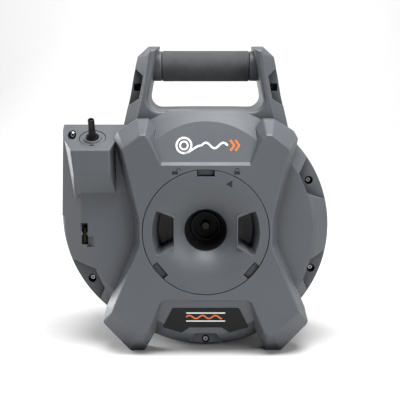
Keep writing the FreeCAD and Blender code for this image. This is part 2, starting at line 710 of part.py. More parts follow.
def front_shell():
    axes = screw_axes()
    room = inner_room(True).cut(rod(WELL_R + WALL, 0, WELL_FLOOR_Y + WALL))
    standing = [prism(grown(outline, WALL), 0, floor_y + WALL) for outline, floor_y in rim_pockets()]
    standing += [rod(POST_R, PANEL_Y + 5, MID + 2, x, z) for x, z, seat, length in axes]
    standing += [rod(SINK_R + WALL, PANEL_Y + 5, seat + 1, x, z) for x, z, seat, length in axes[:-1]]
    standing.append(rod(SINK_R + WALL, BOX_FRONT_Y + 5, BOX_SCREW_Y + WALL, *BOX_SCREW))
    standing.append(rod(BOSS_R, WELL_FLOOR_Y, BUSH_REAR_Y))
    key_added, key_cuts = key_pocket()
    body = outer_body(True).cut(cut_all(room, standing + key_added)).cut(handle_room())
    cuts = [rod(WELL_R, -PAST, WELL_FLOOR_Y), rod(BUSH_R, WELL_FLOOR_Y - PAST, BUSH_REAR_Y + PAST)]
    cuts += [prism(outline, -PAST, floor_y) for outline, floor_y in rim_pockets()]
    cuts += [rod(SINK_R, PANEL_Y, seat, x, z) for x, z, seat, length in axes[:-1]]
    cuts.append(rod(SINK_R, 0, BOX_SCREW_Y, *BOX_SCREW))
    cuts += [rod(SHANK_R + 0.3, 10, MID + PAST, x, z) for x, z, seat, length in axes + handle_screw_axes()]
    cuts.append(rod_x(TUBE_R, -TUBE_HALF - 0.5, TUBE_HALF + 0.5))
    cuts += handle_pockets() + key_cuts
    cuts += [at_outlet(Part.makeCylinder(COLLAR_R + 0.4, 30, put(0, 0, -COLLAR_DEPTH))),
             at_outlet(Part.makeCylinder(GUIDE_R + 0.2, 30, put(0, 0, -20)))]
    cuts.append(plate_on_lower_panel(PLATE_SUNK, PAST))
    cuts += [padlock(LOCK_X, LOCK_Z, 0.0), padlock(-LOCK_X, LOCK_Z, LOCK_SWING)]
    lugs = [lug(LUG_INNER_R, WELL_R + 0.5, LUG_FRONT_Y, LUG_BACK_Y, LUG_WIDTH, a) for a in LUG_ANGLES]
    return cut_all(body, cuts).fuse(lugs).removeSplitter()


def cap_screw_places():
    return [polar(CAP_SCREW_CIRCLE, angle) for angle in range(45, 316, 90)]


def rear_shell():
    """Drawn as a front shell, then flipped to the back."""
    axes = screw_axes() + handle_screw_axes()
    room = inner_room(False).cut(rod(DISH_R + WALL, 0, DISH_DEPTH + WALL))
    standing = [rod(POST_R, PANEL_Y, MID + 2, x, z) for x, z, seat, length in axes]
    standing.append(rod(REAR_BOSS_R, DISH_DEPTH, DEPTH - REAR_BUSH_Y[0]))
    body = outer_body(False).cut(cut_all(room, standing)).cut(handle_room())
    cuts = [rod(DISH_R, -PAST, DISH_DEPTH), rod(REAR_BUSH_R, 0, MID)]
    cuts += [rod(SHANK_R + 0.03, DEPTH - seat - length - 1, MID + PAST, x, z) for x, z, seat, length in axes]
    cuts += [rod(CAP_SCREW_R + 0.03, DISH_DEPTH - PAST, DISH_DEPTH + CAP_HOLE, x, z)
             for x, z in cap_screw_places()]
    cuts.append(rod_x(TUBE_R, -TUBE_HALF - 0.5, TUBE_HALF + 0.5))
    cuts.append(block(-FAR, FAR, MID - SHELL_GAP, MID + 5, -FAR, FAR))
    return flipped(cut_all(body, cuts)).removeSplitter()


# ---- screws ----

def screw(x, z, seat, length):
    """A pan-head screw with a six-sided socket, its head resting at depth seat."""
    head = turned([(0, seat - HEAD_HIGH), (HEAD_R - 1.2, seat - HEAD_HIGH), (HEAD_R - 0.3, seat - 2.2),
                   (HEAD_R, seat - 1.0), (HEAD_R, seat), (0, seat)], x, z)
    six = [(x + polar(SOCKET_R, a)[0], z + polar(SOCKET_R, a)[1]) for a in range(0, 360, 60)]
    head = head.cut(prism(six, seat - HEAD_HIGH - PAST, seat - 1.3))
    return head.fuse(rod(SHANK_R, seat, seat + length, x, z)).removeSplitter()


def cross_screw(x, z, seat):
    """A small screw with a cross slot."""
    head = turned([(0, seat - 1.8), (2.0, seat - 1.8), (CAP_HEAD_R, seat - 0.9), (CAP_HEAD_R, seat),
                   (0, seat)], x, z)
    slots = [block(x - across, x + across, seat - 2.5, seat - 0.8, z - along, z + along)
             for across, along in ((1.7, 0.35), (0.35, 1.7))]
    return cut_all(head, slots).fuse(rod(CAP_SCREW_R, seat, seat + CAP_SHANK, x, z)).removeSplitter()


def plain_screw(head_y, seat, end, head_r, shank_r, x, z):
    """A screw inside the machine, as a plain head on a shank."""
    head = rod(head_r, min(head_y, seat), max(head_y, seat), x, z)
    return head.fuse(rod(shank_r, min(seat, end), max(seat, end), x, z)).removeSplitter()


# ---- handle ----

def handle_tube():
    """The metal tube through the foam, held in a socket at each end."""
    return rod_x(TUBE_R - RUNNING, -TUBE_HALF, TUBE_HALF).cut(rod_x(TUBE_BORE_R, -FAR, FAR))


def grip_sleeve():
    """Foam sleeve with rounded ends."""
    half = GRIP_HALF - GRIP_END_GAP
    outer = rod_x(GRIP_R, -half, half)
    ends = [e for e in outer.Edges if e.Curve.TypeId == "Part::GeomCircle"]
    return outer.makeFillet(GRIP_ROUND, ends).cut(rod_x(TUBE_R, -FAR, FAR))


# ---- drum ----

def hub_screw_places():
    return [polar(HUB_SCREW_CIRCLE, 30 + 60 * i) for i in range(SPOKES)]


def spindle_screw_places():
    return [polar(SPINDLE_SCREW_CIRCLE, 45 + 90 * i) for i in range(4)]


def window(inner, outer, width, y0, y1, angle):
    """An opening between two spokes."""
    half = math.degrees(width / outer)
    outline = [polar(inner, -18) + (4,), polar(inner, 18) + (4,), polar(outer, 30 - half) + (6,),
               polar(outer, -30 + half) + (6,)]
    return spun(prism(outline, y0, y1), angle)


def drum_hub():
    """The hub: a cup at the front around the drive shaft's end, a flange, and a seat for two bearings."""
    profile = [(FACE_BORE_R, HUB_FACE_Y), (HUB_CUP_R, HUB_FACE_Y), (HUB_CUP_R + 0.6, HUB_NOSE_Y + 0.8),
               (HUB_CUP_R + 1.3, HUB_NOSE_Y), (HUB_R - 1.4, HUB_NOSE_Y), (HUB_R, HUB_NOSE_Y + 2.0),
               (HUB_R, FLANGE_Y), (FLANGE_R, FLANGE_Y), (FLANGE_R, DRUM_FRONT_Y), (HUB_R, DRUM_FRONT_Y),
               (HUB_R, HUB_BACK_Y), (HUB_BORE_R, HUB_BACK_Y), (HUB_BORE_R, BEARING_Y[0][0]),
               (FACE_BORE_R, BEARING_Y[0][0])]
    bores = [rod(DRUM_SCREW_R + RUNNING, FLANGE_Y - PAST, DRUM_FRONT_Y + PAST, x, z)
             for x, z in hub_screw_places()]
    return cut_all(turned(profile), bores)


def drum_front_plate():
    plate = ring(PLATE_R, HUB_R + 2 * TIGHT, DRUM_FRONT_Y, DRUM_FRONT_Y + WALL)
    cuts = [window(66, 93, 8, DRUM_FRONT_Y - PAST, DRUM_FRONT_Y + 5, 60 * i) for i in range(SPOKES)]
    cuts += [rod(DRUM_SCREW_R + RUNNING, 50, 70, x, z) for x, z in hub_screw_places()]
    lip = ring(PLATE_R, PLATE_R - PLATE_LIP, DRUM_FRONT_Y - PLATE_LIP, DRUM_FRONT_Y)
    return cut_all(plate, cuts).fuse(lip).removeSplitter()


def drum_basket():
    """The bowl that the sheath lies in, with its core wall and rear disc."""
    core_front = DRUM_FRONT_Y + WALL
    floor_y = DRUM_REAR_Y - WALL
    bore = SPINDLE_R - 4
    profile = [(bore, floor_y), (CORE_R - WALL, floor_y), (CORE_R - WALL, core_front), (CORE_R, core_front),
               (CORE_R, floor_y), (DRUM_R - WALL, floor_y), (DRUM_R - WALL, DRUM_OPEN_Y),
               (DRUM_R, DRUM_OPEN_Y), (DRUM_R, DRUM_REAR_Y), (bore, DRUM_REAR_Y)]
    cuts = [window(66, 92, 12, DRUM_REAR_Y - 5, DRUM_REAR_Y + PAST, 60 * i) for i in range(SPOKES)]
    cuts.append(Part.makeCylinder(6.3, 20, put(CORE_R - 10, RUN_Y, 0), Vector(1, 0, 0)))
    cuts += [rod(DRUM_SCREW_R + RUNNING, 100, 120, x, z) for x, z in spindle_screw_places()]
    return cut_all(turned(profile), cuts)


def drum_spindle():
    """The stub axle on the back of the drum, with a groove for its clip."""
    flange_y = DRUM_REAR_Y + WALL
    groove_end = CLIP_Y + CLIP_GROOVE
    profile = [(SPINDLE_BORE_R, DRUM_REAR_Y), (SPINDLE_FLANGE_R, DRUM_REAR_Y), (SPINDLE_FLANGE_R, flange_y),
               (SPINDLE_R, flange_y), (SPINDLE_R, CLIP_Y), (CLIP_GROOVE_R, CLIP_Y),
               (CLIP_GROOVE_R, groove_end), (SPINDLE_R, groove_end), (SPINDLE_R, SPINDLE_END_Y),
               (SPINDLE_BORE_R, SPINDLE_END_Y)]
    return cut_all(turned(profile), [rod(DRUM_SCREW_R + RUNNING, 100, 120, x, z)
                                     for x, z in spindle_screw_places()])


def spindle_ring():
    """The clip in the groove."""
    return ring(CLIP_R, CLIP_GROOVE_R + TIGHT, CLIP_Y + 0.1, CLIP_Y + CLIP_GROOVE - 0.1)


def drum_screws():
    """Screws that hold the hub to the front plate and the stub axle to the basket."""
    made = [plain_screw(FLANGE_Y - 2.2, FLANGE_Y, 70.0, DRUM_HEAD_R, DRUM_SCREW_R, x, z)
            for x, z in hub_screw_places()]
    seat = DRUM_REAR_Y + WALL
    made += [plain_screw(seat + 2.0, seat, 104.0, DRUM_HEAD_R, DRUM_SCREW_R, x, z)
             for x, z in spindle_screw_places()]
    return Part.makeCompound(made)


def sheath_coil():
    """The stored sheath as one ring: its section is the outline of the turns lying side by side."""
    turns = []
    for radius, count in TURN_LAYERS:
        for i in range(count):
            turns.append(Part.makeTorus(radius, SHEATH_R + TURN_SQUASH,
                                        put(0, FIRST_TURN_Y + TURN_PITCH * i, 0), Y_AXIS))
    return turned(COIL_FILL).multiFuse(turns).removeSplitter()


def inner_guide_tube():
    """The bent tube that leads the cable from the drum's axis out to the coil."""
    bend_y = RUN_Y - BEND_R
    start = put(0, SLEEVE_Y[1] + 0.6, 0)
    middle = put(BEND_R - BEND_R * math.cos(math.pi / 4), bend_y + BEND_R * math.sin(math.pi / 4), 0)
    edges = [Part.LineSegment(start, put(0, bend_y, 0)).toShape(),
             Part.Arc(put(0, bend_y, 0), middle, put(BEND_R, RUN_Y, 0)).toShape(),
             Part.LineSegment(put(BEND_R, RUN_Y, 0), put(RUN_START_X - 1, RUN_Y, 0)).toShape()]
    return tube_along(edges, GUIDE_TUBE_R, CABLE_R + 0.5)


def sheath_inner_run():
    """The sheath's first stretch, from the guide tube into the coil."""
    turn = RUN_BEND_R
    middle = put(RUN_STRAIGHT_X + turn * math.sin(math.pi / 4), RUN_Y, turn - turn * math.cos(math.pi / 4))
    end = put(RUN_STRAIGHT_X + turn, RUN_Y, turn)
    edges = [Part.LineSegment(put(RUN_START_X, RUN_Y, 0), put(RUN_STRAIGHT_X, RUN_Y, 0)).toShape(),
             Part.Arc(put(RUN_STRAIGHT_X, RUN_Y, 0), middle, end).toShape()]
    return tube_along(edges, SHEATH_R, 0.0)


def sheath_anchor():
    """The gland that fixes the sheath's end to the core wall."""
    body = Part.makeCylinder(6.2, 4.0, put(CORE_R - 3.6, RUN_Y, 0), Vector(1, 0, 0))
    nut = Part.makeCylinder(6.8, 4.5, put(CORE_R + 0.4, RUN_Y, 0), Vector(1, 0, 0))
    hole = Part.makeCylinder(SHEATH_R + 0.03, 20, put(CORE_R - 8, RUN_Y, 0), Vector(1, 0, 0))
    return body.fuse(nut).cut(hole).removeSplitter()


# ---- drive ----

def drive_shaft():
    """The shaft through the hub; a drill's chuck grips its thinner front end."""
    profile = [(0, SHAFT_FRONT_Y), (DRIVE_END_R - 0.8, SHAFT_FRONT_Y), (DRIVE_END_R, SHAFT_FRONT_Y + 0.8),
               (DRIVE_END_R, SHAFT_STEP_Y), (SHAFT_R, SHAFT_STEP_Y), (SHAFT_R, SHAFT_REAR_Y),
               (0, SHAFT_REAR_Y)]
    return turned(profile)


def drive_bearing(number):
    return ring(HUB_BORE_R - TIGHT, SHAFT_R + RUNNING, *BEARING_Y[number])


def coupling_sleeve():
    """Joins the shaft to the flexible cable."""
    front, back = SLEEVE_Y
    body = turned([(0, front), (SLEEVE_R, front), (SLEEVE_R, back - 0.8), (SLEEVE_R - 0.8, back), (0, back)])
    cuts = [rod(SHAFT_R + TIGHT, front - PAST, SHAFT_REAR_Y), rod(CABLE_R, front - PAST, back + PAST)]
    cuts += [Part.makeCylinder(GRUB_R, 12, put(0, y, 0), Z_AXIS) for y in GRUB_Y]
    return cut_all(body, cuts)


def coupling_screws():
    """One grub screw onto the shaft and one onto the cable."""
    screws = []
    for y, inner in zip(GRUB_Y, (SHAFT_R, CABLE_R)):
        length = SLEEVE_R - 0.3 - inner
        screws.append(Part.makeCylinder(GRUB_R - RUNNING, length, put(0, y, inner + TIGHT), Z_AXIS))
    return Part.makeCompound(screws)


# ---- hub cover ----

def dish_depth(radius):
    """Depth of the cover's funnel at a radius: flat at the rim, steepest at the hole."""
    share = max(0.0, (FLAT_R - radius) / (FLAT_R - HOLE_R))
    return HOLE_Y * share ** DISH_POWER


def dish():
    """The cover's dished face, as a thin section turned about the axis."""
    radii = [FLAT_R - (FLAT_R - HOLE_R) * i / DISH_STEPS for i in range(DISH_STEPS + 1)]
    top = Part.BSplineCurve()
    top.interpolate([put(r, dish_depth(r), 0) for r in radii])
    under = Part.BSplineCurve()
    under.interpolate([put(r, dish_depth(r) + COVER_THICK, 0) for r in reversed(radii)])
    corners = [put(FLAT_R, COVER_THICK, 0), put(COVER_R, COVER_THICK, 0), put(COVER_R, 0.5, 0),
               put(COVER_R - 0.5, 0, 0), put(FLAT_R, 0, 0)]
    edges = [top.toShape(), Part.LineSegment(put(HOLE_R, HOLE_Y, 0), put(HOLE_R, GUIDE_TOP_Y, 0)).toShape(),
             under.toShape()]
    edges += [Part.LineSegment(a, b).toShape() for a, b in zip(corners, corners[1:])]
    return Part.Face(Part.Wire(edges)).revolve(put(0, 0, 0), Y_AXIS, 360)


def recess_outline(shrink):
    """The right-hand finger recess, drawn smaller by shrink: most at its outer side, least at its inner."""
    arc_r = RECESS_OUTER_R - shrink
    sweep = 1 - shrink * RECESS_SWEEP_IN
    ends = (RECESS_ARC[0], RECESS_ARC[-1])
    arc = [polar(arc_r, a * sweep) + ((2.0,) if a in ends else (arc_r - 3,)) for a in RECESS_ARC]
    (top_x, top_z), (low_x, low_z) = RECESS_INNER
    inner_x = shrink * 0.3
    inner_z = shrink * 0.75
    return [(top_x + inner_x, top_z - inner_z, 2.0)] + arc + [(low_x + inner_x, low_z + inner_z, 2.0)]


def cup_screw_places():
    return [polar(CUP_SCREW_R, a) for a in CUP_SCREW_ANGLES]


def hub_cover():
    """The round cover: a dished face with two finger recesses, and tabs that turn under the lugs."""
    recess_back = RECESS_DEPTH + RECESS_WALL
    added = [ring(SKIRT_R, SKIRT_R - 2.0, 1.5, SKIRT_BACK_Y)]
    added += [lug(SKIRT_R - 1, TAB_R, TAB_FRONT_Y, TAB_BACK_Y, TAB_WIDTH, a) for a in LUG_ANGLES]
    cuts = []
    for side in (list, other_side):
        added.append(taper(side(recess_outline(-RECESS_WALL)), 2.0,
                           side(recess_outline(RECESS_DRAFT - RECESS_WALL)), recess_back))
        cuts.append(taper(side(recess_outline(0.0)), -0.5, side(recess_outline(RECESS_DRAFT)), RECESS_DEPTH))
    cuts.append(rod(HOLE_R, 0, CUP_BACK_Y))
    for angle in LUG_ANGLES:
        half = NOTCH_WIDTH / 2
        cuts.append(spun(block(NOTCH_INNER_R, COVER_R + 5, -PAST, COVER_THICK + 0.5, -half, half), angle))
    cuts += [rod(1.55, HOLE_Y + 0.5, GUIDE_TOP_Y + WALL, x, z) for x, z in cup_screw_places()]
    cuts.append(prism(ARROW, -PAST, MARK_DEPTH))
    return cut_all(dish().multiFuse(added), cuts).removeSplitter()


def drill_guide():
    """The black cup in the cover's hole, which steers the drill's chuck onto the shaft."""
    flange_y = GUIDE_TOP_Y + CUP_WALL
    profile = [(HOLE_R - 0.1, GUIDE_TOP_Y), (CUP_FLANGE_R, GUIDE_TOP_Y), (CUP_FLANGE_R, flange_y),
               (HOLE_R + CUP_WALL - 0.1, flange_y), (CUP_BACK_R + CUP_WALL, CUP_BACK_Y),
               (CUP_BACK_R, CUP_BACK_Y)]
    return cut_all(turned(profile), [rod(1.65, HOLE_Y, flange_y + PAST, x, z) for x, z in cup_screw_places()])


def guide_screws():
    seat = GUIDE_TOP_Y + CUP_WALL + 0.03
    return Part.makeCompound([plain_screw(seat + 1.8, seat, seat - 3.8, 2.8, 1.5, x, z)
                              for x, z in cup_screw_places()])


# ---- outlet ----

def outlet_collar():
    """The collar screwed into the box's top, with a notch for a spanner."""
    bore = BOOT_R + RUNNING
    profile = [(bore, -COLLAR_DEPTH), (COLLAR_R, -COLLAR_DEPTH), (COLLAR_R, -0.9), (COLLAR_R - 0.6, -0.3),
               (10.6, -0.3), (10.0, 1.2), (bore, 1.2)]
    notch = Part.makeBox(5.0, 3.0, 2.0, put(-2.5, -COLLAR_R - 0.5, -1.4))
    return at_outlet(upright(profile).cut(notch))


def outlet_boot():
    """The rubber boot round the sheath."""
    bore = SHEATH_R + 0.03
    profile = [(bore, -COLLAR_DEPTH), (BOOT_R, -COLLAR_DEPTH), (BOOT_R, BOOT_HIGH - 1.2),
               (BOOT_R - 1.2, BOOT_HIGH), (bore, BOOT_HIGH)]
    return at_outlet(upright(profile))


def outlet_guide():
    """The straight tube under the collar that holds the sheath in line with the outlet."""
    bore = SHEATH_R + 0.2
    profile = [(bore, -GUIDE_DEPTH), (GUIDE_R, -GUIDE_DEPTH), (GUIDE_R, -COLLAR_DEPTH), (bore, -COLLAR_DEPTH)]
    return at_outlet(upright(profile))


def sheath_lead():
    """The sheath from the drum's front edge up through the outlet."""
    lean = math.radians(OUTLET_TILT)
    heading = Vector(0, -math.sin(lean), math.cos(lean))
    top = at_outlet(Part.Vertex(0, 0, FITTING_FOOT)).Point
    knee = top - heading * (FITTING_FOOT + LEAD_KNEE)
    end = put(*LEAD_END)
    into = (end - knee).normalize()
    turn = heading.getAngle(into * -1.0)
    reach = 0.45 * min((end - knee).Length, LEAD_KNEE)
    arc_start = knee + heading * reach
    arc_end = knee + into * reach
    bisector = (heading + into).normalize()
    radius = reach / math.tan(turn / 2)
    middle = knee + bisector * (radius / math.cos(turn / 2) - radius)
    edges = [Part.LineSegment(top, arc_start).toShape(), Part.Arc(arc_start, middle, arc_end).toShape(),
             Part.LineSegment(arc_end, end).toShape()]
    depth = SPIGOT_DEPTH + 1.0
    socket = Part.makeCylinder(SPIGOT_R + RUNNING, depth + PAST, put(0, 0, FITTING_FOOT - depth))
    return tube_along(edges, SHEATH_R, 0.0).cut(at_outlet(socket))


def cable_end():
    """The fitting on the end of the cable, which turns when the drill turns."""
    root = FITTING_FOOT - SPIGOT_DEPTH
    foot = FITTING_FOOT + 0.2
    profile = [(0, root), (SPIGOT_R, root), (SPIGOT_R, foot), (FITTING_R, foot),
               (FITTING_R, FITTING_TIP - 0.7), (FITTING_R - 0.7, FITTING_TIP), (FITTING_BORE_R, FITTING_TIP),
               (FITTING_BORE_R, FITTING_TIP - FITTING_BORE), (0, FITTING_TIP - FITTING_BORE - 1)]
    return at_outlet(upright(profile))


# ---- hex key and rear cap ----

def hex_key():
    """The bent key: its short arm stands in the slot, and its long arm lies in the sleeve behind it."""
    low = put(KEY_X, KEY_Y, KEY_TOP_Z - KEY_SHORT)
    corner = put(KEY_X, KEY_Y, KEY_RUN_Z)
    rise_end = corner - put(0, 0, KEY_BEND)
    run_start = corner + put(0, KEY_BEND, 0)
    middle = corner + put(0, KEY_BEND, -KEY_BEND) + put(0, -KEY_BEND, KEY_BEND) * math.sqrt(0.5)
    edges = [Part.LineSegment(low, rise_end).toShape(), Part.Arc(rise_end, middle, run_start).toShape(),
             Part.LineSegment(run_start, put(KEY_X, KEY_Y + KEY_LONG, KEY_RUN_Z)).toShape()]
    corner_r = KEY_R / math.cos(math.pi / 6)
    six = [low + put(polar(corner_r, a)[0], polar(corner_r, a)[1], 0) for a in range(0, 361, 60)]
    return Part.Wire(edges).makePipeShell([Part.makePolygon(six)], True, False)


def rear_cap():
    """The round cap over the rear bush, dished in the middle."""
    seat = DEPTH - DISH_DEPTH
    top = seat + CAP_THICK
    profile = [(0, seat), (CAP_R, seat), (CAP_R, seat + 2.6), (CAP_R - 1.4, top), (CAP_DIP_R, top),
               (CAP_DIP_R - 3, top - 1.2), (0, top - 1.2)]
    return cut_all(turned(profile), [rod(CAP_SCREW_R + 0.1, seat - PAST, DEPTH, x, z)
                                     for x, z in cap_screw_places()])


def rear_cap_screws():
    seat = DISH_DEPTH - CAP_THICK
    return Part.makeCompound([flipped(cross_screw(x, z, seat)) for x, z in cap_screw_places()])


def front_bush():
    """The plain bearing of the hub, with a lip behind its seat."""
    bore = HUB_R + RUNNING
    return ring(BUSH_R - TIGHT, bore, BUSH_FRONT_Y, BUSH_REAR_Y).fuse(
        ring(BUSH_LIP_R, bore, BUSH_REAR_Y, BUSH_REAR_Y + BUSH_LIP)).removeSplitter()


def build():
    return {
        "front_shell": front_shell(),
        "rear_shell": rear_shell(),
        "handle_tube": handle_tube(),
        "grip_sleeve": grip_sleeve(),
        "nameplate": plate_on_lower_panel(PLATE_SUNK - RUNNING, PLATE_THICK - PLATE_SUNK + RUNNING),
        "case_screws": Part.makeCompound([screw(*axis) for axis in screw_axes()]),
        "handle_screws": Part.makeCompound([screw(*axis) for axis in handle_screw_axes()]),
        "outlet_collar": outlet_collar(),
        "outlet_boot": outlet_boot(),
        "outlet_guide": outlet_guide(),
        "sheath_lead": sheath_lead(),
        "front_bush": front_bush(),
        "rear_bush": ring(REAR_BUSH_R - TIGHT, SPINDLE_R + RUNNING, *REAR_BUSH_Y),
        "rear_cap": rear_cap(),
        "rear_cap_screws": rear_cap_screws(),
        "drum_hub": drum_hub(),
        "drum_front_plate": drum_front_plate(),
        "drum_basket": drum_basket(),
        "drum_spindle": drum_spindle(),
        "drum_screws": drum_screws(),
        "spindle_ring": spindle_ring(),
        "sheath_coil": sheath_coil(),
        "sheath_inner_run": sheath_inner_run(),
        "sheath_anchor": sheath_anchor(),
        "inner_guide_tube": inner_guide_tube(),
        "drive_bearing_front": drive_bearing(0),
        "drive_bearing_rear": drive_bearing(1),
        "drive_shaft": drive_shaft(),
        "shaft_collar": ring(STOP_R, SHAFT_R + TIGHT, *STOP_Y),
        "coupling_sleeve": coupling_sleeve(),
        "coupling_screws": coupling_screws(),
        "cable_core": rod(CABLE_R - TIGHT, SHAFT_REAR_Y + 0.1, RUN_Y - BEND_R - 0.5),
        "cable_end": cable_end(),
        "hub_cover": hub_cover(),
        "drill_guide": drill_guide(),
        "guide_screws": guide_screws(),
        "hex_key": hex_key(),
    }


os.makedirs("parts", exist_ok=True)
for name, shape in build().items():
    moved = shape.copy()
    moved.translate(put(SIDE_SHIFT, -MID, -FOOT_Z))
    moved.exportStep("parts/%s.step" % name)
    print(name, "solids", len(moved.Solids), "volume", round(moved.Volume), "valid", moved.isValid())
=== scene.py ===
import json
import math

import bpy
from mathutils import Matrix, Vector
from mathutils.bvhtree import BVHTree


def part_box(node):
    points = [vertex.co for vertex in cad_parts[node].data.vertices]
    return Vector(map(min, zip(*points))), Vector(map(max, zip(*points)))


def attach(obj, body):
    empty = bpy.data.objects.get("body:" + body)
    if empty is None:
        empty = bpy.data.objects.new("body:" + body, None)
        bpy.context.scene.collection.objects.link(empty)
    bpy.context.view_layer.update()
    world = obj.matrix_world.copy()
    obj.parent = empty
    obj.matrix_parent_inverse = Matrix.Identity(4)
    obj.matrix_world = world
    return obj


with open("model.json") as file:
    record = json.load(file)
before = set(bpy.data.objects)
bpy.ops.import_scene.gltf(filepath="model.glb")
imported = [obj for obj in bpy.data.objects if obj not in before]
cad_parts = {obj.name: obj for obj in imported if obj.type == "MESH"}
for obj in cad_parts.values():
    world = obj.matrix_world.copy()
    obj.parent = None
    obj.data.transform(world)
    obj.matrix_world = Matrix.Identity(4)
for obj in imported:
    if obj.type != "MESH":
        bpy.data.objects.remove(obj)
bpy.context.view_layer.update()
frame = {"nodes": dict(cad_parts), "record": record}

# A carried drum case for a drain cleaning cable. The CAD nodes keep their shapes and get their
# materials here. The prints that lie on them, and dark films of painted shade in their sunk signs, are made
# here as thin films.
# Everything is in metres: X to the right seen from the front, Y backwards, Z up.

MM = 0.001
NODES = frame["nodes"]


def middle(node):
    """The middle of a CAD node's box."""
    low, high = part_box(node)
    return (low + high) / 2


HUB = middle("drum_hub")
FRONT_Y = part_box("front_shell")[0].y


# ---- camera ----

CAMERA_LEFT = 6.4 * MM
CAMERA_AWAY = 1106.5 * MM
CAMERA_OVER_HUB = 199.0 * MM
CAMERA_PITCH = 9.0
LENS = 85.0
SENSOR = 36.0
CLIP_END = 50.0


def camera():
    """The camera, a little left of the hub and well above it, looking slightly down."""
    data = bpy.data.cameras.new("camera")
    data.lens = LENS
    data.sensor_width = SENSOR
    data.clip_end = CLIP_END
    eye = bpy.data.objects.new("camera", data)
    eye.location = (HUB.x - CAMERA_LEFT, -CAMERA_AWAY, HUB.z + CAMERA_OVER_HUB)
    eye.rotation_euler = (math.radians(90.0 - CAMERA_PITCH), 0, 0)
    bpy.context.scene.collection.objects.link(eye)
    bpy.context.scene.camera = eye


# ---- node materials ----

# Painted highlight on edges: how far it reaches and how much paler it makes the colour.
EDGE_HIGHLIGHT_RADIUS = 0.9 * MM
EDGE_HIGHLIGHT_PALER = 1.8
# How dark the painted shade on floors far behind the front face is.
DEEP_SHADE = 0.12
# Reach and darkness of the painted shade in steel sockets.
SOCKET_REACH = 2.5 * MM
SOCKET_SHADE = 0.04
MOULD_RELIEF = 0.05 * MM
FOAM_RELIEF = 0.25 * MM
STEEL_RELIEF = 0.03 * MM
INK_RELIEF = 0.02 * MM
STRAND_RELIEF = 0.2 * MM
AIR_SAMPLES = 8
EDGE_SAMPLES = 6
ROUND_SAMPLES = 8


